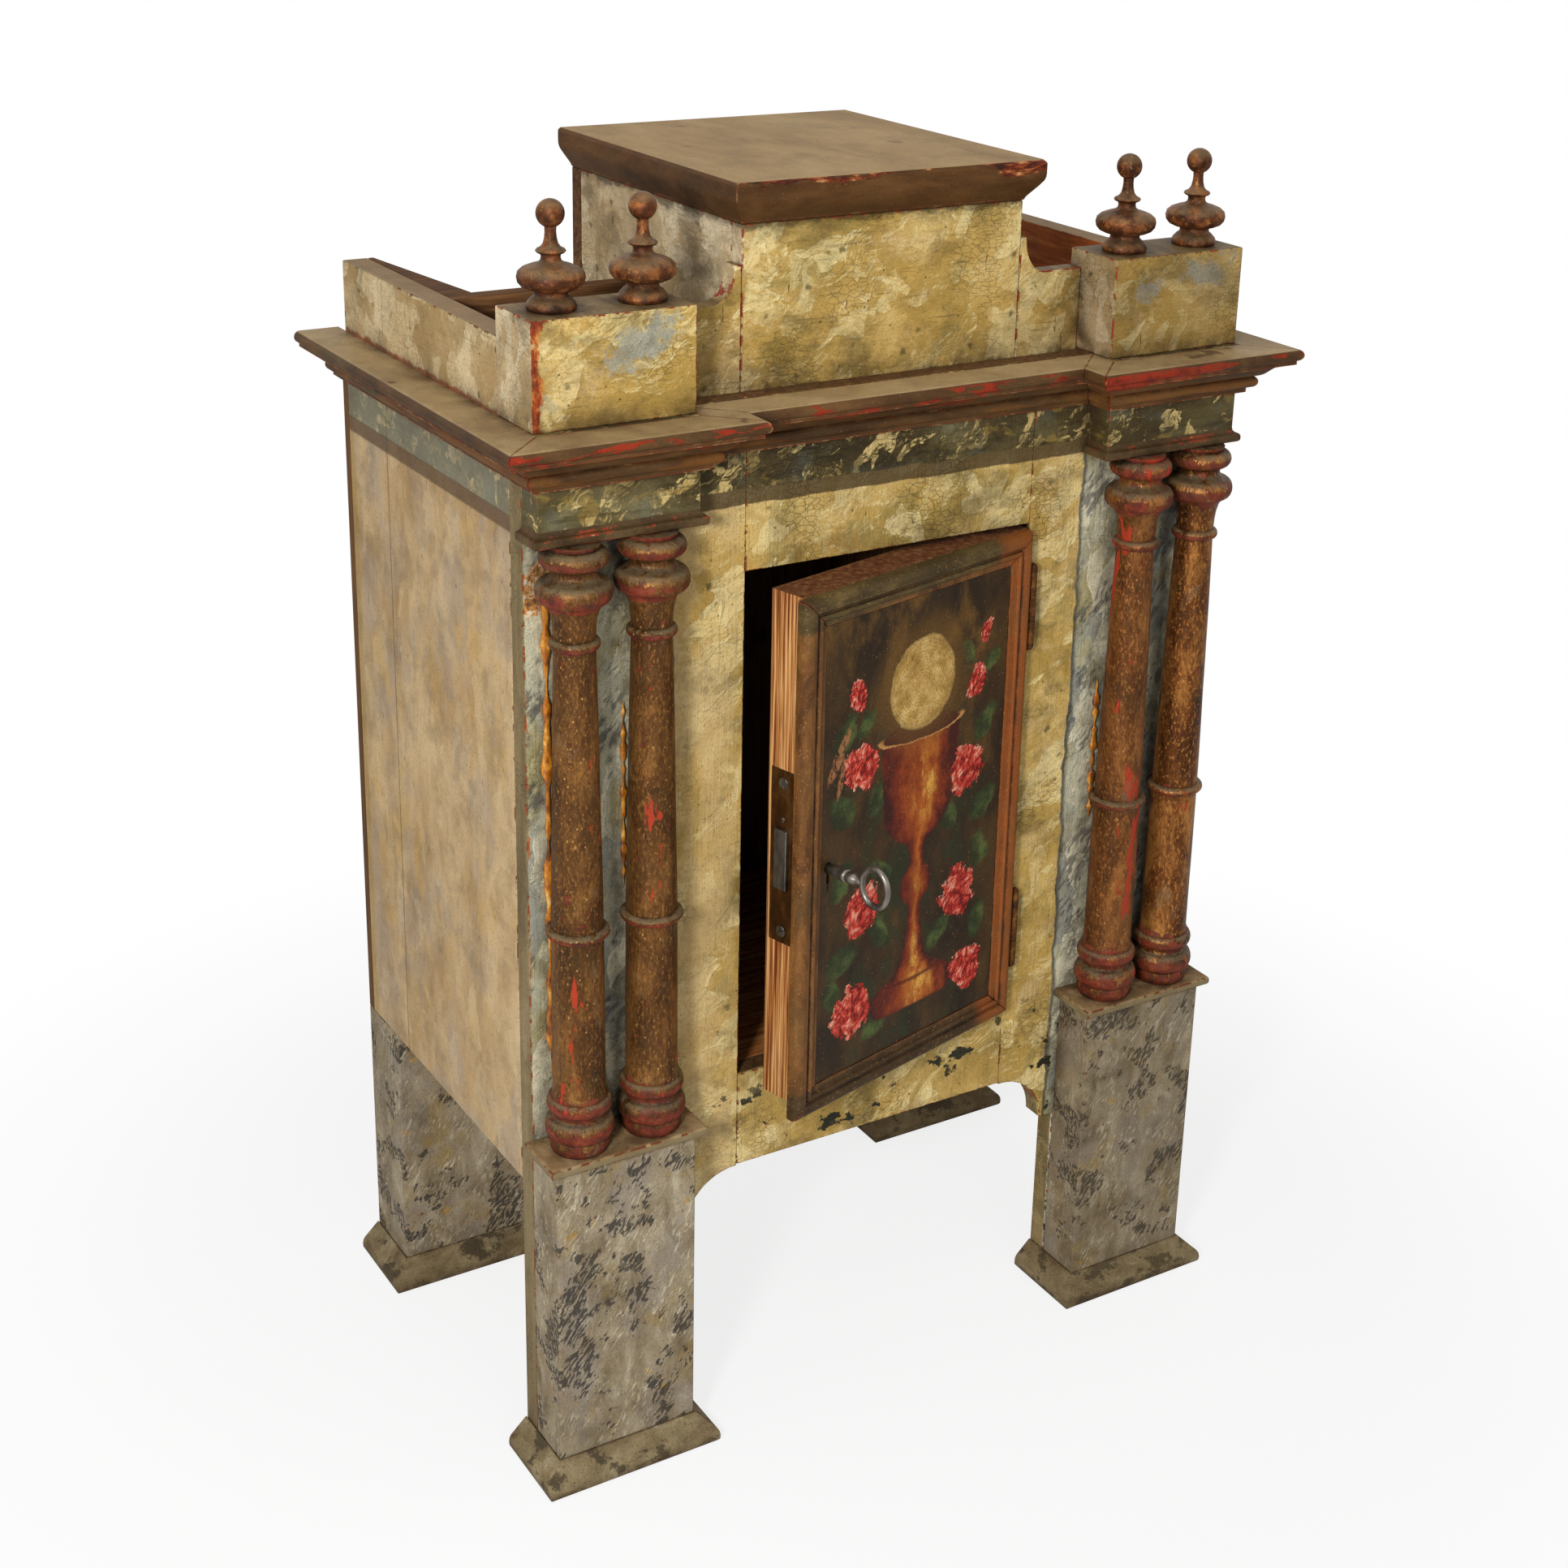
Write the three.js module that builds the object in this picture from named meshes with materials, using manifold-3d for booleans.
// Altar tabernacle: a painted wooden sacrament cupboard on four legs, with paired columns,
// a moulded cornice, a stepped attic with turned finials, and a hinged door with lock and key.
// Millimetres, Z up, the front faces -Y, and the floor is at Z = 0.
import * as THREE from "three";
import { mergeVertices } from "three/addons/utils/BufferGeometryUtils.js";
import Module from "manifold-3d";

const wasm = await Module();
wasm.setup();

// Case: widths are half widths from the middle, depths run back from the front boards' face
const CASE_HALF = 235;
const CASE_DEPTH = 254;
const FRONT_THICK = 15;
const SIDE_THICK = 16;
const BACK_THICK = 8;
const SIDE_FOOT = 186;
const FLOOR_THICK = 10;
const FLOOR_BELOW_DOORWAY = 2;
const ROOF_BELOW_CORNICE = 13;
const ROOF_THICK = 12;

// Pedestals, plates and feet
const PEDESTAL_WIDE = 90;
const PEDESTAL_TALL = 214.5;
const PEDESTAL_DEPTH = 32;
const PLATE_THICK = 5.5;
const PLATE_OVERHANG = 5.5;
const BACK_LEG_DEPTH = 50;
const FOOT_HEIGHT = 18;
const FOOT_SPREAD = 12.5;
const LEG_INNER = CASE_HALF - PEDESTAL_WIDE;

// Columns and frieze, each standing on what is below it
const COLUMN_TALL = 364.5;
const COLUMN_RING = 138;
const COLUMN_FORWARD = 17.5;
const COLUMN_EDGE = 21.75;
const COLUMN_FACETS = 18;
const FRIEZE_TALL = 31.5;
const FRIEZE_DEPTH = 20;
const FRIEZE_OVERSAIL = 6.5;
const TAENIA_HEIGHT = 8.5;
const TAENIA_REACH = 4;
const PLATE_TOP = PEDESTAL_TALL + PLATE_THICK;
const FRIEZE_FOOT = PLATE_TOP + COLUMN_TALL;
const FRIEZE_INNER = LEG_INNER - FRIEZE_OVERSAIL;

// Cornice
const CORNICE_TALL = 29;
const CORNICE_REACH = 28;
const CORNICE_PAST_BACK = 3;
const CORNICE_FOOT = FRIEZE_FOOT + FRIEZE_TALL;
const CORNICE_TOP = CORNICE_FOOT + CORNICE_TALL;
const CORNICE_REAR = CASE_DEPTH + CORNICE_PAST_BACK;

// Doorway and shaped bracket
const DOORWAY_HALF = 98.5;
const DOORWAY_FOOT = 224;
const DOORWAY_TALL = 321;
const BOTTOM_RAIL_TALL = 63;
const BRACKET_TALL = 35;
const BRACKET_STEP = 11;
const BRACKET_SETBACK = 1.5;
const DOORWAY_TOP = DOORWAY_FOOT + DOORWAY_TALL;
const RAIL_FOOT = DOORWAY_FOOT - BOTTOM_RAIL_TALL;
const FLOOR_TOP = DOORWAY_FOOT - FLOOR_BELOW_DOORWAY;
const ROOF_TOP = CORNICE_TOP - ROOF_BELOW_CORNICE;

// Attic, its heights measured up from the cornice
const PARAPET_TALL = 42.5;
const ATTIC_BLOCK_TALL = 59;
const ATTIC_BLOCK_SETBACK = 0.5;
const ATTIC_BLOCK_FRONT = 16;
const ATTIC_BLOCK_REAR = 28;
const ATTIC_HALF = 93.5;
const ATTIC_FRONT = 17;
const ATTIC_SHORT_OF_BACK = 28;
const ATTIC_BOARD = 12;
const ATTIC_TALL = 92;
const CAP_THICK = 24;
const CAP_OVERHANG = 9.5;
const WING_BELOW_CAP = 22;
const WING_FLAT = 4.5;
const WING_CURVE_X = 14;
const WING_CURVE_Z = 20;
const CROSS_BOARD_Y = 120;
const RAIL_WIDE = 17;
const RAIL_NARROW = 4;
const RAIL_THICK = 14;
const FINIAL_EDGE = 21.5;
const FINIAL_Y = 5;
const FINIAL_FACETS = 14;
const PARAPET_TOP = CORNICE_TOP + PARAPET_TALL;
const ATTIC_BLOCK_TOP = CORNICE_TOP + ATTIC_BLOCK_TALL;
const ATTIC_BLOCK_INNER = FRIEZE_INNER + ATTIC_BLOCK_SETBACK;
const ATTIC_TOP = CORNICE_TOP + ATTIC_TALL;
const ATTIC_REAR = CASE_DEPTH - ATTIC_SHORT_OF_BACK;
const WING_PEAK = ATTIC_TOP - WING_BELOW_CAP;
const WING_SHOULDER = WING_PEAK - WING_CURVE_Z - 1;

// Hinges
const HINGE_TALL = 50;
const HINGE_OUT = 0.5;
const HINGE_FORWARD = 5;
const HINGE_FROM_FOOT = 25;
const HINGE_FROM_TOP = 24.5;
const KNUCKLE_RADIUS = 3;
const PIN_RADIUS = 1.3;
const LEAF_THICK = 1.2;
const LEAF_REACH = 14.5;
const HINGE_X = DOORWAY_HALF + HINGE_OUT;
const HINGE_Y = -HINGE_FORWARD;

// Door, measured closed; it rests ajar
const DOOR_AJAR = 14.5;
const SLAB_THICK = 24;
const SLAB_GAP_LOCK = 3.75;
const SLAB_GAP_HINGE = 1.25;
const SLAB_GAP_FOOT = 3;
const SLAB_GAP_TOP = 2;
const STRIP_PAST_DOORWAY = 1;
const STRIP_PAST_FOOT = 8.5;
const STRIP_WIDTH = 18;
const STRIP_DEPTH = 8.7;
const PANEL_THICK = 5.2;
const SLAB_LOCK_EDGE = SLAB_GAP_LOCK - DOORWAY_HALF;
const SLAB_HINGE_EDGE = DOORWAY_HALF - SLAB_GAP_HINGE;
const SLAB_FOOT = DOORWAY_FOOT + SLAB_GAP_FOOT;
const SLAB_TOP = DOORWAY_TOP - SLAB_GAP_TOP;
const STRIP_LOCK_EDGE = -DOORWAY_HALF - STRIP_PAST_DOORWAY;
const STRIP_HINGE_EDGE = HINGE_X - KNUCKLE_RADIUS - 0.5;
const STRIP_FOOT = SLAB_FOOT - STRIP_PAST_FOOT;
const HINGE_FEET = {
  lower: SLAB_FOOT + HINGE_FROM_FOOT,
  upper: SLAB_TOP - HINGE_FROM_TOP - HINGE_TALL,
};

// Lock and key, set out from the key's own height and its distance in from the door's edge
const KEY_ABOVE_FOOT = 149;
const KEY_BACKSET = 20;
const LOCK_PLATE_BELOW = 47;
const LOCK_PLATE_ABOVE = 61;
const LOCK_PLATE_WIDE = 19;
const LOCK_PLATE_THICK = 2;
const LOCK_CASE_MARGIN = 12;
const LOCK_CASE_THICK = 14;
const LOCK_CASE_DEEP = 40.5;
const LOCK_WALL = 1.5;
const BOLT_BELOW = 12.5;
const BOLT_ABOVE = 24.5;
const BOLT_THICK = 9.5;
const BOLT_HEAD = 9.75;
const BOLT_SHOWING = 2.25;
const BOLT_THROW = 10;
const SHANK_RADIUS = 2.8;
const BIT_DROP = 9.5;
const BIT_THICK = 1.8;
const BOW_TALL = 11.6;
const BOW_LONG = 9.7;
const BOW_WIRE = 2;
const KEY_X = SLAB_LOCK_EDGE + KEY_BACKSET;
const KEY_Z = SLAB_FOOT + KEY_ABOVE_FOOT;
const LOCK_PLATE_FOOT = KEY_Z - LOCK_PLATE_BELOW;
const LOCK_PLATE_TOP = KEY_Z + LOCK_PLATE_ABOVE;
const LOCK_CASE_FOOT = LOCK_PLATE_FOOT + LOCK_CASE_MARGIN;
const LOCK_CASE_TOP = LOCK_PLATE_TOP - LOCK_CASE_MARGIN;
const BOLT_FOOT = KEY_Z - BOLT_BELOW;
const BOLT_TOP = KEY_Z + BOLT_ABOVE;

// Clearances
const SLIP = 0.3;
const MITRE_GAP = 0.2;
const RUNNING = 0.1;

// The origin is at the floor, in the middle of the depth from the key's bow to the cornice's back ends
const ORIGIN_Y = 80;

const FINISH = {
  marble: { color: 0xb6a273, roughness: 0.62, metalness: 0 },
  sidePaint: { color: 0xb09a78, roughness: 0.66, metalness: 0 },
  stoneGrey: { color: 0x8d8672, roughness: 0.68, metalness: 0 },
  footOchre: { color: 0x857552, roughness: 0.66, metalness: 0 },
  cornice: { color: 0x6f5a41, roughness: 0.6, metalness: 0 },
  frieze: { color: 0x5d6154, roughness: 0.6, metalness: 0 },
  gilt: { color: 0x6b4a26, roughness: 0.45, metalness: 0.35 },
  finial: { color: 0x6a4836, roughness: 0.55, metalness: 0.15 },
  rawWood: { color: 0x6b4a30, roughness: 0.8, metalness: 0 },
  doorWood: { color: 0x8a5b38, roughness: 0.7, metalness: 0 },
  doorPaint: { color: 0x2f2415, roughness: 0.5, metalness: 0 },
  doorMoulding: { color: 0x5e4729, roughness: 0.5, metalness: 0 },
  brass: { color: 0x6e4f22, roughness: 0.45, metalness: 0.9 },
  steel: { color: 0x6f6a60, roughness: 0.4, metalness: 0.9 },
  rustySteel: { color: 0x5a3f24, roughness: 0.6, metalness: 0.6 },
};

// A mesh of one geometry in its own finish
function piece(name, finish, geometry) {
  const mesh = new THREE.Mesh(geometry, new THREE.MeshStandardMaterial(FINISH[finish]));
  mesh.name = name;
  return mesh;
}

function boxBetween(x0, x1, y0, y1, z0, z1) {
  const geometry = new THREE.BoxGeometry(Math.abs(x1 - x0), Math.abs(y1 - y0), Math.abs(z1 - z0));
  return geometry.translate((x0 + x1) / 2, (y0 + y1) / 2, (z0 + z1) / 2);
}

// A flat board, placed by its middle
function board(name, finish, x0, x1, y0, y1, z0, z1) {
  const size = [Math.abs(x1 - x0), Math.abs(y1 - y0), Math.abs(z1 - z0)];
  const mesh = piece(name, finish, new THREE.BoxGeometry(...size));
  mesh.position.set((x0 + x1) / 2, (y0 + y1) / 2, (z0 + z1) / 2);
  return mesh;
}

function solid(geometry) {
  const bare = geometry.clone();
  bare.deleteAttribute("normal");
  bare.deleteAttribute("uv");
  const merged = mergeVertices(bare, 1e-4);
  const mesh = new wasm.Mesh({
    numProp: 3,
    vertProperties: new Float32Array(merged.attributes.position.array),
    triVerts: new Uint32Array(merged.index.array),
  });
  return new wasm.Manifold(mesh);
}

function surface(body) {
  const mesh = body.getMesh();
  const geometry = new THREE.BufferGeometry();
  geometry.setAttribute("position", new THREE.BufferAttribute(mesh.vertProperties, 3));
  geometry.setIndex(new THREE.BufferAttribute(mesh.triVerts, 1));
  geometry.computeVertexNormals();
  return geometry;
}

function cut(geometry, cutters) {
  return surface(cutters.reduce((body, cutter) => body.subtract(solid(cutter)), solid(geometry)));
}

function join(parts) {
  return surface(parts.slice(1).reduce((body, part) => body.add(solid(part)), solid(parts[0])));
}

// An outline carried along a third direction; the basis says where its two axes and the run go
function extruded(shape, length, across, up, along) {
  const geometry = new THREE.ExtrudeGeometry(shape, { depth: length, bevelEnabled: false, curveSegments: 8 });
  return geometry.applyMatrix4(new THREE.Matrix4().makeBasis(across, up, along));
}

const X = new THREE.Vector3(1, 0, 0);
const Y = new THREE.Vector3(0, 1, 0);
const Z = new THREE.Vector3(0, 0, 1);
const FORWARD = new THREE.Vector3(0, -1, 0);
const LEFTWARD = new THREE.Vector3(-1, 0, 0);

// A board seen from the front: its outline stands in X and Z, its thickness runs from y0 to y1
function frontBoard(shape, y0, y1) {
  return extruded(shape, y1 - y0, X, Z, FORWARD).translate(0, y1, 0);
}

// A solid of level rectangles, each spread past the base one on the front and both sides
function spreadBlock(base, levels) {
  const corners = [];
  for (const [z, spread] of levels) {
    corners.push(base.x0 - spread, base.y0 - spread, z);
    corners.push(base.x1 + spread, base.y0 - spread, z);
    corners.push(base.x1 + spread, base.y1, z);
    corners.push(base.x0 - spread, base.y1, z);
  }
  const faces = [0, 2, 1, 0, 3, 2];
  for (let level = 0; level < levels.length - 1; level += 1) {
    for (let side = 0; side < 4; side += 1) {
      const low = level * 4 + side;
      const next = level * 4 + ((side + 1) % 4);
      faces.push(low, next, next + 4, low, next + 4, low + 4);
    }
  }
  const top = (levels.length - 1) * 4;
  faces.push(top, top + 1, top + 2, top, top + 2, top + 3);
  const geometry = new THREE.BufferGeometry();
  geometry.setAttribute("position", new THREE.Float32BufferAttribute(corners, 3));
  geometry.setIndex(faces);
  geometry.computeVertexNormals();
  return geometry;
}

// The rectangle between two half widths on one side of the middle
function sideRect(side, inner, outer, y0, y1) {
  return { x0: Math.min(side * inner, side * outer), x1: Math.max(side * inner, side * outer), y0, y1 };
}

// Heights and spreads along a quarter round, from (z0, spread0) to (z1, spread1)
function quarter(z0, spread0, z1, spread1, steps, hollow) {
  const levels = [];
  for (let step = 0; step <= steps; step += 1) {
    const angle = (step / steps) * (Math.PI / 2);
    const rise = hollow ? Math.sin(angle) : 1 - Math.cos(angle);
    const run = hollow ? 1 - Math.cos(angle) : Math.sin(angle);
    levels.push([z0 + (z1 - z0) * rise, spread0 + (spread1 - spread0) * run]);
  }
  return levels;
}

// A half round bead on a turned profile
function bead(path, height, root, tip, half) {
  path.lineTo(root, height - half);
  path.absellipse(root, height, tip - root, half, -Math.PI / 2, Math.PI / 2, false);
}

function turned(path, facets) {
  return new THREE.LatheGeometry(path.getPoints(2), facets).rotateX(Math.PI / 2);
}

// Side walls: they pass up behind the cornice to form the parapets
function sidePanel(side) {
  const outline = new THREE.Shape();
  outline.moveTo(FRONT_THICK, SIDE_FOOT);
  outline.lineTo(CASE_DEPTH - BACK_THICK, SIDE_FOOT);
  outline.lineTo(CASE_DEPTH - BACK_THICK, PARAPET_TOP);
  outline.lineTo(ATTIC_BLOCK_REAR, PARAPET_TOP);
  outline.lineTo(ATTIC_BLOCK_REAR, CORNICE_TOP);
  outline.lineTo(FRONT_THICK, CORNICE_TOP);
  const start = side < 0 ? -CASE_HALF : CASE_HALF - SIDE_THICK;
  return extruded(outline, SIDE_THICK, Y, Z, X).translate(start, 0, 0);
}

// Front stile and leg in one board, with the shaped bracket under the rail
function stileOutline(side) {
  const outline = new THREE.Shape();
  const curveStart = DOORWAY_HALF + BRACKET_SETBACK;
  const curveWide = LEG_INNER - BRACKET_STEP - curveStart;
  const curveTop = RAIL_FOOT - 1;
  outline.moveTo(side * DOORWAY_HALF, curveTop);
  outline.lineTo(side * curveStart, curveTop);
  const from = Math.PI / 2;
  const to = side > 0 ? 0 : Math.PI;
  outline.absellipse(side * curveStart, curveTop - BRACKET_TALL, curveWide, BRACKET_TALL, from, to, side > 0);
  outline.lineTo(side * LEG_INNER, curveTop - BRACKET_TALL);
  outline.lineTo(side * LEG_INNER, 0);
  outline.lineTo(side * CASE_HALF, 0);
  outline.lineTo(side * CASE_HALF, CORNICE_TOP);
  outline.lineTo(side * DOORWAY_HALF, CORNICE_TOP);
  return outline;
}

function leftStile() {
  const notchFront = boltMiddle() - BOLT_THICK / 2 - SLIP;
  const mortise = boxBetween(-DOORWAY_HALF - BOLT_THROW, -DOORWAY_HALF + 1, notchFront, FRONT_THICK + 1,
    BOLT_FOOT - 1, BOLT_TOP + 1);
  return cut(frontBoard(stileOutline(-1), 0, FRONT_THICK), [mortise]);
}

function rightStile() {
  const pockets = Object.values(HINGE_FEET).map((foot) => boxBetween(DOORWAY_HALF - 1,
    DOORWAY_HALF + LEAF_THICK + SLIP, -1, LEAF_REACH + SLIP, foot - SLIP, foot + HINGE_TALL + SLIP));
  return cut(frontBoard(stileOutline(1), 0, FRONT_THICK), pockets);
}

// Back leg: the post is flush with the side, and its inner part rises beside the side wall
function backLeg(side) {
  const front = CASE_DEPTH - BACK_LEG_DEPTH;
  const post = boxBetween(side * LEG_INNER, side * CASE_HALF, front, CASE_DEPTH, 0, SIDE_FOOT);
  const tongueRear = CASE_DEPTH - BACK_THICK - SLIP;
  const tongueOuter = side * (CASE_HALF - SIDE_THICK - SLIP);
  const tongueTop = FLOOR_TOP - FLOOR_THICK - SLIP;
  return join([post, boxBetween(side * LEG_INNER, tongueOuter, front, tongueRear, SIDE_FOOT - 1, tongueTop)]);
}

// Splayed moulding mitred round a leg on three sides, its lower edge worn round
function footMoulding(side, legFront, legRear) {
  const leg = sideRect(side, LEG_INNER, CASE_HALF, legFront, legRear);
  const levels = [[0, FOOT_SPREAD - 1.2], [1.4, FOOT_SPREAD - 0.2], [4, FOOT_SPREAD], [6.5, FOOT_SPREAD - 0.4],
    [8.5, FOOT_SPREAD - 1.5], [FOOT_HEIGHT, 1]];
  const core = boxBetween(leg.x0 - SLIP, leg.x1 + SLIP, legFront - SLIP, legRear + 1, -1, FOOT_HEIGHT + 1);
  return cut(spreadBlock(leg, levels), [core]);
}

function pedestalPlate(side) {
  const edge = PLATE_OVERHANG - 1;
  const levels = [[PEDESTAL_TALL, edge], [PEDESTAL_TALL + 1, PLATE_OVERHANG], [PLATE_TOP - 1.25, PLATE_OVERHANG],
    [PLATE_TOP - 0.5, PLATE_OVERHANG - 0.5], [PLATE_TOP, edge]];
  return spreadBlock(sideRect(side, LEG_INNER, CASE_HALF, -PEDESTAL_DEPTH, 0), levels);
}

// Turned column, cut flat at the back where it is glued to the front board
function column() {
  const top = COLUMN_TALL;
  const path = new THREE.Path();
  path.moveTo(0, 0);
  path.lineTo(16.8, 0);
  path.lineTo(16.8, 8.5);
  bead(path, 15, 15.8, 20, 6.5);
  path.quadraticCurveTo(14.6, 23.5, 15.8, 25.5);
  bead(path, 30, 15.8, 18.6, 4.5);
  path.lineTo(16.5, 34.5);
  path.lineTo(16.5, 36.5);
  path.lineTo(15.2, 37);
  path.lineTo(15, COLUMN_RING - 48);
  bead(path, COLUMN_RING, 14.6, 18.1, 2.8);
  path.lineTo(14.4, COLUMN_RING + 21);
  path.lineTo(13.2, top - 139.5);
  bead(path, top - 56, 11.4, 14.2, 3);
  path.lineTo(11.5, top - 46.5);
  path.quadraticCurveTo(11.8, top - 38.5, 15.5, top - 33.5);
  bead(path, top - 26.5, 17, 21, 6.2);
  path.quadraticCurveTo(13.2, top - 19, 12.5, top - 16.5);
  path.lineTo(13, top - 13.5);
  bead(path, top - 7.8, 13.6, 19, 5.2);
  path.lineTo(14, top - 2.5);
  path.lineTo(14, top);
  path.lineTo(0, top);
  const wall = COLUMN_FORWARD - SLIP;
  return cut(turned(path, COLUMN_FACETS), [boxBetween(-30, 30, wall, wall + 20, -1, top + 1)]);
}

// Frieze block over each pair of columns, with a small moulding round its foot
function friezeBlock(side) {
  const noseTop = FRIEZE_FOOT + TAENIA_HEIGHT * 0.6;
  const levels = [[FRIEZE_FOOT, TAENIA_REACH - 1], [FRIEZE_FOOT + 1, TAENIA_REACH],
    [noseTop - 1, TAENIA_REACH], ...quarter(noseTop, TAENIA_REACH - 0.8, FRIEZE_FOOT + TAENIA_HEIGHT, 0, 3, false),
    [CORNICE_TOP, 0]];
  return spreadBlock(sideRect(side, FRIEZE_INNER, CASE_HALF, -FRIEZE_DEPTH, 0), levels);
}

// Cornice section: fillet, bead, wave moulding, fillet and rounded nosing, from the foot up
function corniceSection() {
  const tall = CORNICE_TALL;
  const nose = 3.65;
  const section = new THREE.Shape();
  section.moveTo(0, 0);
  section.lineTo(4.5, 0);
  section.lineTo(4.5, 3.3);
  section.lineTo(5.8, 3.3);
  section.absarc(5.8, 6.95, nose, -Math.PI / 2, Math.PI / 2, false);
  section.lineTo(7.6, 10.6);
  section.bezierCurveTo(14.5, 10.9, 12.5, 18, 23.8, 19.3);
  section.lineTo(25, 19.4);
  section.lineTo(25, tall - 2 * nose);
  section.absarc(CORNICE_REACH - nose, tall - nose, nose, -Math.PI / 2, Math.PI / 2, false);
  section.lineTo(0, tall);
  return section;
}

// A cornice length along +X whose face looks to -Y; each end leans by its cut times the reach
function corniceLength(length, startCut, endCut) {
  const geometry = extruded(corniceSection(), length, FORWARD, Z, LEFTWARD).translate(length, 0, 0);
  const points = geometry.attributes.position;
  for (let i = 0; i < points.count; i += 1) {
    const atStart = points.getX(i) < length / 2;
    const lean = (atStart ? startCut : endCut) * -points.getY(i);
    const gap = atStart ? Math.abs(startCut) * MITRE_GAP : -Math.abs(endCut) * MITRE_GAP;
    points.setX(i, points.getX(i) + lean + gap);
  }
  geometry.computeVertexNormals();
  return geometry;
}

function placeLength(name, length, cuts, x, y, turn) {
  const mesh = piece(name, "cornice", corniceLength(length, ...cuts));
  mesh.position.set(x, y, CORNICE_FOOT);
  mesh.rotation.z = turn * (Math.PI / 2);
  return mesh;
}

// The seven mitred lengths; a cut of 1 or -1 is a mitre, 0 is square
function cornice() {
  const sideRun = CORNICE_REAR + FRIEZE_DEPTH;
  const blockRun = CASE_HALF - FRIEZE_INNER;
  return [
    placeLength("cornice_side_left", sideRun, [0, 1], -CASE_HALF, CORNICE_REAR, -1),
    placeLength("cornice_front_left", blockRun, [-1, 1], -CASE_HALF, -FRIEZE_DEPTH, 0),
    placeLength("cornice_return_left", FRIEZE_DEPTH, [-1, -1], -FRIEZE_INNER, -FRIEZE_DEPTH, 1),
    placeLength("cornice_middle", 2 * FRIEZE_INNER, [1, -1], -FRIEZE_INNER, 0, 0),
    placeLength("cornice_return_right", FRIEZE_DEPTH, [1, 1], FRIEZE_INNER, 0, -1),
    placeLength("cornice_front_right", blockRun, [-1, 1], FRIEZE_INNER, -FRIEZE_DEPTH, 0),
    placeLength("cornice_side_right", sideRun, [-1, 0], CASE_HALF, -FRIEZE_DEPTH, 1),
  ];
}

// Wing board between the attic and its end block, scooped down in a quarter round
function atticWing(side) {
  const flatEnd = ATTIC_HALF + WING_FLAT;
  const scoopEnd = flatEnd + WING_CURVE_X;
  const outline = new THREE.Shape();
  outline.moveTo(side * ATTIC_HALF, ROOF_TOP);
  outline.lineTo(side * ATTIC_BLOCK_INNER, ROOF_TOP);
  outline.lineTo(side * ATTIC_BLOCK_INNER, WING_SHOULDER);
  outline.lineTo(side * scoopEnd, WING_SHOULDER);
  const from = -Math.PI / 2;
  const to = side > 0 ? -Math.PI : 0;
  outline.absellipse(side * scoopEnd, WING_PEAK - 1, WING_CURVE_X, WING_CURVE_Z, from, to, side > 0);
  outline.lineTo(side * flatEnd, WING_PEAK);
  outline.lineTo(side * ATTIC_HALF, WING_PEAK);
  return frontBoard(outline, ATTIC_FRONT, ATTIC_FRONT + ATTIC_BOARD);
}

// Attic lid: a worn edge over a splayed wave moulding, flush at the back
function atticCap() {
  const base = { x0: -ATTIC_HALF, x1: ATTIC_HALF, y0: ATTIC_FRONT, y1: ATTIC_REAR };
  const top = ATTIC_TOP + CAP_THICK;
  const levels = [[ATTIC_TOP, 0.8], [ATTIC_TOP + 1.5, 1], [ATTIC_TOP + 3, 2], [ATTIC_TOP + 5.5, CAP_OVERHANG - 5.6],
    [ATTIC_TOP + 9, CAP_OVERHANG - 2.9], [ATTIC_TOP + 12, CAP_OVERHANG - 0.9], [ATTIC_TOP + 14, CAP_OVERHANG - 0.2],
    [ATTIC_TOP + 16, CAP_OVERHANG], [top - 2, CAP_OVERHANG], [top - 0.8, CAP_OVERHANG - 0.5],
    [top, CAP_OVERHANG - 1.8]];
  return spreadBlock(base, levels);
}

// Turned finial: foot, flattened bulb, small disc, flaring neck and ball
function finial() {
  const path = new THREE.Path();
  path.moveTo(0, 0);
  path.lineTo(13, 0);
  path.lineTo(13.5, 2);
  path.quadraticCurveTo(12.5, 7, 8.9, 8);
  path.lineTo(8.7, 10);
  path.quadraticCurveTo(15, 11, 17.2, 14.5);
  path.quadraticCurveTo(19, 18.4, 17.2, 21);
  path.quadraticCurveTo(13, 24.5, 5.5, 26);
  path.lineTo(5.1, 29);
  path.lineTo(7.6, 30.5);
  path.lineTo(8, 31.6);
  path.quadraticCurveTo(3.6, 34, 3, 40.6);
  path.lineTo(3, 43.1);
  path.absarc(0, 50, 7.5, -1.16, Math.PI / 2, false);
  return turned(path, FINIAL_FACETS);
}

function boltMiddle() {
  return SLAB_THICK / 2;
}

// Round hole with a slot below it, from y0 to y1, for the key to pass
function keyhole(y0, y1) {
  const hole = new THREE.CylinderGeometry(SHANK_RADIUS + SLIP, SHANK_RADIUS + SLIP, y1 - y0, 20);
  hole.translate(KEY_X, (y0 + y1) / 2, KEY_Z);
  const half = BIT_THICK / 2 + SLIP;
  const slot = boxBetween(KEY_X - half, KEY_X + half, y0, y1, KEY_Z - BIT_DROP - SLIP, KEY_Z);
  return join([hole, slot]);
}

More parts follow.
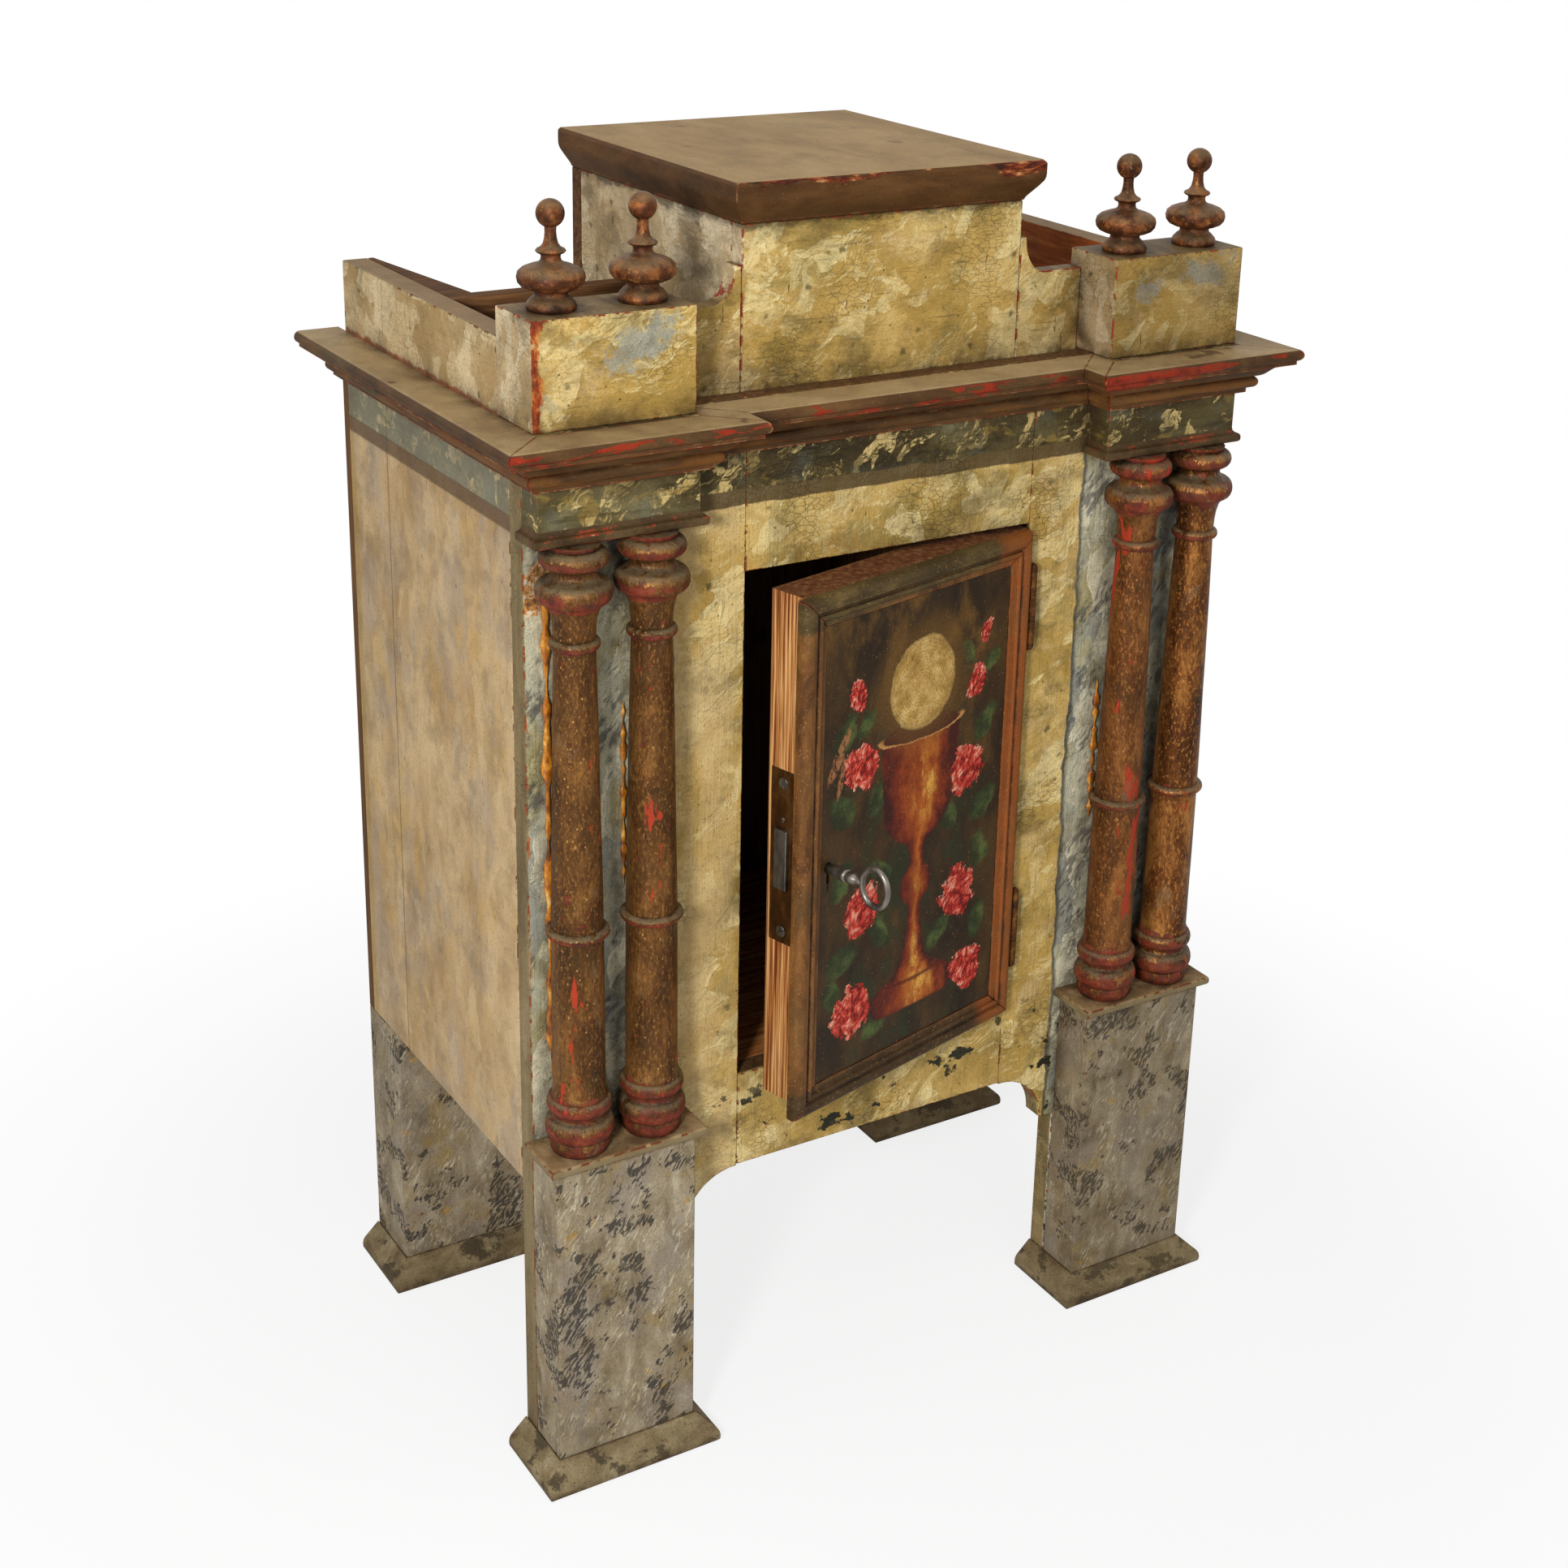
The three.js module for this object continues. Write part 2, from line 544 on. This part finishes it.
// Solid wooden leaf, mortised for the lock and housed for the hinge leaves
function doorSlab() {
  const slab = boxBetween(SLAB_LOCK_EDGE, SLAB_HINGE_EDGE, 0, SLAB_THICK, SLAB_FOOT, SLAB_TOP);
  const middle = boltMiddle();
  const caseHalf = LOCK_CASE_THICK / 2 + SLIP;
  const plateHalf = LOCK_PLATE_WIDE / 2 + SLIP;
  const mortise = boxBetween(SLAB_LOCK_EDGE - 1, SLAB_LOCK_EDGE + LOCK_CASE_DEEP + SLIP,
    middle - caseHalf, middle + caseHalf, LOCK_CASE_FOOT - SLIP, LOCK_CASE_TOP + SLIP);
  const seat = boxBetween(SLAB_LOCK_EDGE - 1, SLAB_LOCK_EDGE + LOCK_PLATE_THICK + SLIP,
    middle - plateHalf, middle + plateHalf, LOCK_PLATE_FOOT - SLIP, LOCK_PLATE_TOP + SLIP);
  const housings = Object.values(HINGE_FEET).map((foot) => boxBetween(
    HINGE_X - KNUCKLE_RADIUS - SLIP, SLAB_HINGE_EDGE + 1, -1, LEAF_REACH + SLIP,
    foot - SLIP, foot + HINGE_TALL + SLIP));
  return cut(slab, [mortise, seat, keyhole(-1, middle), ...housings]);
}

// Painted field of the door, let in between the mouldings
function doorPanel() {
  const inset = STRIP_WIDTH + SLIP;
  const field = boxBetween(STRIP_LOCK_EDGE + inset, STRIP_HINGE_EDGE - inset, -SLIP - PANEL_THICK, -SLIP,
    STRIP_FOOT + inset, SLAB_TOP - inset);
  return cut(field, [keyhole(-PANEL_THICK - 1, 1)]);
}

// Door moulding section: round outer edge, groove, bead and a slope down to the field
function stripSection() {
  const section = new THREE.Shape();
  section.moveTo(0, 0);
  section.lineTo(0, STRIP_DEPTH - 5);
  section.absarc(5, STRIP_DEPTH - 5, 5, Math.PI, Math.PI / 2, true);
  section.lineTo(8, STRIP_DEPTH - 0.4);
  section.lineTo(9, STRIP_DEPTH - 2.2);
  section.lineTo(10, STRIP_DEPTH - 2.2);
  section.absarc(12, STRIP_DEPTH - 2.2, 1.8, Math.PI, 0, true);
  section.lineTo(14.2, STRIP_DEPTH - 2.6);
  section.lineTo(STRIP_WIDTH, PANEL_THICK + 0.6);
  section.lineTo(STRIP_WIDTH, 0);
  return section;
}

// One mitred strip, its outer edge along X at z = 0 and its face to -Y
function doorStrip(name, length, x, z, turn) {
  const geometry = extruded(stripSection(), length, Z, FORWARD, X).translate(-length / 2, 0, 0);
  const points = geometry.attributes.position;
  for (let i = 0; i < points.count; i += 1) {
    const inward = -Math.sign(points.getX(i)) * (points.getZ(i) + MITRE_GAP);
    points.setX(i, points.getX(i) + inward);
  }
  geometry.computeVertexNormals();
  const mesh = piece(name, "doorMoulding", geometry);
  mesh.position.set(x, -SLIP, z);
  mesh.rotation.y = turn * (Math.PI / 2);
  return mesh;
}

function doorStrips() {
  const wide = STRIP_HINGE_EDGE - STRIP_LOCK_EDGE;
  const tall = SLAB_TOP - STRIP_FOOT;
  const middleX = (STRIP_HINGE_EDGE + STRIP_LOCK_EDGE) / 2;
  const middleZ = (SLAB_TOP + STRIP_FOOT) / 2;
  return [
    doorStrip("door_moulding_bottom", wide, middleX, STRIP_FOOT, 0),
    doorStrip("door_moulding_top", wide, middleX, SLAB_TOP, 2),
    doorStrip("door_moulding_lock_side", tall, STRIP_LOCK_EDGE, middleZ, 1),
    doorStrip("door_moulding_hinge_side", tall, STRIP_HINGE_EDGE, middleZ, -1),
  ];
}

// A round bar standing on the hinge line
function hingeBar(radius, z0, z1) {
  const bar = new THREE.CylinderGeometry(radius, radius, z1 - z0, 12).rotateX(Math.PI / 2);
  return bar.translate(HINGE_X, HINGE_Y, (z0 + z1) / 2);
}

function knuckleThird(foot, third) {
  const tall = HINGE_TALL / 3;
  return [foot + third * tall, foot + (third + 1) * tall];
}

// Frame leaf: two knuckles on a fixed pin with ball ends, and a plate let into the stile
function frameLeaf(foot) {
  const knuckles = [0, 2].map((third) => hingeBar(KNUCKLE_RADIUS, ...knuckleThird(foot, third)));
  const balls = [foot, foot + HINGE_TALL].map((z) => new THREE.SphereGeometry(KNUCKLE_RADIUS, 12, 8)
    .rotateX(Math.PI / 2).translate(HINGE_X, HINGE_Y, z));
  const plate = boxBetween(DOORWAY_HALF, DOORWAY_HALF + LEAF_THICK, HINGE_Y + 1, LEAF_REACH, foot,
    foot + HINGE_TALL);
  const [low, high] = knuckleThird(foot, 1);
  const wide = KNUCKLE_RADIUS + SLIP;
  const clearing = boxBetween(HINGE_X - wide, HINGE_X + wide, HINGE_Y - wide, HINGE_Y + wide,
    low - SLIP, high + SLIP);
  const body = cut(join([plate, ...knuckles, ...balls]), [clearing]);
  return join([body, hingeBar(PIN_RADIUS, foot, foot + HINGE_TALL)]);
}

// Door leaf: the middle knuckle, bored for the pin, and a plate let into the slab's edge
function doorLeaf(foot) {
  const [low, high] = knuckleThird(foot, 1);
  const outer = HINGE_X - KNUCKLE_RADIUS;
  const plate = boxBetween(outer, outer + LEAF_THICK, HINGE_Y + KNUCKLE_RADIUS + SLIP, LEAF_REACH, foot,
    foot + HINGE_TALL);
  const tongue = boxBetween(outer, outer + LEAF_THICK, HINGE_Y, LEAF_REACH - 2, low, high);
  const bore = hingeBar(PIN_RADIUS + RUNNING, low - 1, high + 1);
  return cut(join([plate, tongue, hingeBar(KNUCKLE_RADIUS, low, high)]), [bore]);
}

// Lock: brass edge plate and a steel case, hollow for the bolt's tail and the turning key bit
function lockCase() {
  const middle = boltMiddle();
  const plateHalf = LOCK_PLATE_WIDE / 2;
  const caseHalf = LOCK_CASE_THICK / 2;
  const hollowHalf = caseHalf - LOCK_WALL;
  const boltHalf = BOLT_THICK / 2 + SLIP / 2;
  const plate = boxBetween(SLAB_LOCK_EDGE, SLAB_LOCK_EDGE + LOCK_PLATE_THICK, middle - plateHalf,
    middle + plateHalf, LOCK_PLATE_FOOT, LOCK_PLATE_TOP);
  const box = boxBetween(SLAB_LOCK_EDGE + 1, SLAB_LOCK_EDGE + LOCK_CASE_DEEP, middle - caseHalf,
    middle + caseHalf, LOCK_CASE_FOOT, LOCK_CASE_TOP);
  const hollow = boxBetween(SLAB_LOCK_EDGE + LOCK_PLATE_THICK, SLAB_LOCK_EDGE + LOCK_CASE_DEEP - LOCK_WALL,
    middle - hollowHalf, middle + hollowHalf, LOCK_CASE_FOOT + LOCK_WALL, LOCK_CASE_TOP - LOCK_WALL);
  const boltSlot = boxBetween(SLAB_LOCK_EDGE - 1, SLAB_LOCK_EDGE + LOCK_PLATE_THICK + 1, middle - boltHalf,
    middle + boltHalf, BOLT_FOOT - SLIP / 2, BOLT_TOP + SLIP / 2);
  return cut(join([plate, box]), [hollow, boltSlot, keyhole(middle - caseHalf - 1, middle)]);
}

// Bolt: a square head, and a thin tail that runs behind the key bit
function lockBolt() {
  const middle = boltMiddle();
  const tip = SLAB_LOCK_EDGE - BOLT_SHOWING;
  const head = boxBetween(tip, tip + BOLT_HEAD, middle - BOLT_THICK / 2, middle + BOLT_THICK / 2,
    BOLT_FOOT, BOLT_TOP);
  const tailRear = middle + BOLT_THICK / 2;
  const tailEnd = SLAB_LOCK_EDGE + LOCK_CASE_DEEP - LOCK_WALL - BOLT_SHOWING - 1;
  const tail = boxBetween(tip + 1, tailEnd, tailRear - 1.5, tailRear, BOLT_FOOT + 6, BOLT_TOP - 6);
  return join([head, tail]);
}

// Key, drawn with its shank along the lock's depth: shank, collar, ball, neck, oval bow and bit
function key() {
  const face = -SLIP - PANEL_THICK;
  const tip = boltMiddle() + 2.5;
  const path = new THREE.Path();
  path.moveTo(0, 0);
  path.lineTo(SHANK_RADIUS, 0);
  path.lineTo(SHANK_RADIUS, tip - face + 12.5);
  path.lineTo(4.2, tip - face + 12.7);
  path.lineTo(4.2, tip - face + 15);
  path.lineTo(3, tip - face + 15.4);
  path.absarc(0, tip - face + 18.8, 3.9, -0.7, 0.95, false);
  path.lineTo(2, tip - face + 27.5);
  path.lineTo(0, tip - face + 27.5);
  const stem = new THREE.LatheGeometry(path.getPoints(3), 16);
  stem.rotateX(Math.PI).translate(0, tip, 0);
  const bow = bowRing().translate(0, face - 36.6, 0);
  const bit = boxBetween(-BIT_THICK / 2, BIT_THICK / 2, tip - 7.5, tip - 1.5, -BIT_DROP, 0);
  return join([stem, bow, bit]);
}

// Oval ring in the Y and Z plane
function bowRing() {
  const wire = new THREE.Path();
  wire.absarc(BOW_TALL, 0, BOW_WIRE, 0, Math.PI * 2, false);
  const ring = new THREE.LatheGeometry(wire.getPoints(5), 28).rotateZ(Math.PI / 2);
  return ring.scale(1, BOW_LONG / BOW_TALL, 1);
}

function both(build) {
  return [build("left", -1), build("right", 1)].flat();
}

function caseBoards() {
  const innerHalf = CASE_HALF - SIDE_THICK;
  const innerRear = CASE_DEPTH - BACK_THICK;
  return [
    ...both((name, side) => piece(`side_panel_${name}`, "sidePaint", sidePanel(side))),
    piece("front_stile_left", "marble", leftStile()),
    piece("front_stile_right", "marble", rightStile()),
    board("top_rail", "marble", -DOORWAY_HALF, DOORWAY_HALF, 0, FRONT_THICK, DOORWAY_TOP, CORNICE_TOP),
    board("bottom_rail", "marble", -DOORWAY_HALF, DOORWAY_HALF, 0, FRONT_THICK, RAIL_FOOT, DOORWAY_FOOT),
    board("back_board", "rawWood", -CASE_HALF, CASE_HALF, innerRear, CASE_DEPTH, SIDE_FOOT, ROOF_TOP),
    board("floor_board", "rawWood", -innerHalf, innerHalf, FRONT_THICK, innerRear,
      FLOOR_TOP - FLOOR_THICK, FLOOR_TOP),
    board("roof_board", "rawWood", -innerHalf, innerHalf, FRONT_THICK, innerRear,
      ROOF_TOP - ROOF_THICK, ROOF_TOP),
  ];
}

function baseParts() {
  const backFront = CASE_DEPTH - BACK_LEG_DEPTH;
  return both((name, side) => [
    piece(`back_leg_${name}`, "stoneGrey", backLeg(side)),
    board(`pedestal_${name}`, "stoneGrey", side * LEG_INNER, side * CASE_HALF, -PEDESTAL_DEPTH, 0, 0, PEDESTAL_TALL),
    piece(`pedestal_plate_${name}`, "footOchre", pedestalPlate(side)),
    piece(`front_foot_${name}`, "footOchre", footMoulding(side, -PEDESTAL_DEPTH, FRONT_THICK)),
    piece(`back_foot_${name}`, "footOchre", footMoulding(side, backFront, CASE_DEPTH)),
  ]);
}

function columnsAndFrieze() {
  return both((name, side) => {
    const stand = (which, x) => {
      const mesh = piece(`column_${name}_${which}`, "gilt", column());
      mesh.position.set(side * x, -COLUMN_FORWARD, PLATE_TOP);
      return mesh;
    };
    return [
      stand("outer", CASE_HALF - COLUMN_EDGE),
      stand("inner", LEG_INNER + COLUMN_EDGE),
      piece(`frieze_block_${name}`, "frieze", friezeBlock(side)),
    ];
  });
}

function atticParts() {
  const inner = ATTIC_HALF - ATTIC_BOARD;
  const sideFront = ATTIC_FRONT + ATTIC_BOARD;
  const sideRear = ATTIC_REAR - ATTIC_BOARD;
  const wallInner = CASE_HALF - SIDE_THICK;
  const pairs = both((name, side) => {
    const stand = (which, x) => {
      const mesh = piece(`finial_${name}_${which}`, "finial", finial());
      mesh.position.set(side * x, FINIAL_Y, ATTIC_BLOCK_TOP);
      return mesh;
    };
    return [
      board(`attic_block_${name}`, "marble", side * ATTIC_BLOCK_INNER, side * CASE_HALF,
        -ATTIC_BLOCK_FRONT, ATTIC_BLOCK_REAR, CORNICE_TOP, ATTIC_BLOCK_TOP),
      piece(`attic_wing_${name}`, "marble", atticWing(side)),
      board(`attic_side_board_${name}`, "marble", side * inner, side * ATTIC_HALF, sideFront, sideRear,
        ROOF_TOP, ATTIC_TOP),
      stand("outer", CASE_HALF - FINIAL_EDGE),
      stand("inner", ATTIC_BLOCK_INNER + FINIAL_EDGE),
    ];
  });
  return [
    ...pairs,
    board("attic_front_board", "marble", -ATTIC_HALF, ATTIC_HALF, ATTIC_FRONT, sideFront, ROOF_TOP, ATTIC_TOP),
    board("attic_back_board", "rawWood", -ATTIC_HALF, ATTIC_HALF, sideRear, ATTIC_REAR, ROOF_TOP, ATTIC_TOP),
    piece("attic_cap", "cornice", atticCap()),
    board("attic_cross_board", "rawWood", -wallInner, -ATTIC_HALF, CROSS_BOARD_Y,
      CROSS_BOARD_Y + ATTIC_BOARD, ROOF_TOP, PARAPET_TOP),
    piece("attic_inner_rail", "rawWood", innerRail(wallInner)),
  ];
}

// Tapering strip along the inside of the left parapet, behind the cross board
function innerRail(wallInner) {
  const front = CROSS_BOARD_Y + ATTIC_BOARD;
  const rear = CASE_DEPTH - BACK_THICK;
  const outline = new THREE.Shape();
  outline.moveTo(-wallInner, front);
  outline.lineTo(-wallInner + RAIL_WIDE, front);
  outline.lineTo(-wallInner + RAIL_NARROW, rear);
  outline.lineTo(-wallInner, rear);
  return extruded(outline, RAIL_THICK, X, Y, Z).translate(0, 0, PARAPET_TOP - RAIL_THICK);
}

// Door body, ajar on its hinge line
function door() {
  const closed = new THREE.Group();
  closed.name = "door_closed_frame";
  closed.position.set(-HINGE_X, -HINGE_Y, 0);
  const keyMesh = piece("key", "steel", key());
  keyMesh.position.set(KEY_X, 0, KEY_Z);
  closed.add(
    piece("door_slab", "doorWood", doorSlab()),
    piece("door_panel", "doorPaint", doorPanel()),
    ...doorStrips(),
    ...Object.entries(HINGE_FEET).map(([name, foot]) => piece(`hinge_door_leaf_${name}`, "rustySteel",
      doorLeaf(foot))),
    piece("lock_case", "brass", lockCase()),
    piece("lock_bolt", "steel", lockBolt()),
    keyMesh,
  );
  const swung = new THREE.Group();
  swung.name = "door";
  swung.position.set(HINGE_X, HINGE_Y, 0);
  swung.rotation.z = THREE.MathUtils.degToRad(DOOR_AJAR);
  swung.add(closed);
  return swung;
}

const tabernacle = new THREE.Group();
tabernacle.name = "altar_tabernacle";
tabernacle.position.set(0, -ORIGIN_Y, 0);
tabernacle.add(
  ...caseBoards(),
  ...baseParts(),
  ...columnsAndFrieze(),
  ...cornice(),
  ...atticParts(),
  ...Object.entries(HINGE_FEET).map(([name, foot]) => piece(`hinge_frame_leaf_${name}`, "rustySteel",
    frameLeaf(foot))),
  door(),
);

export default tabernacle;
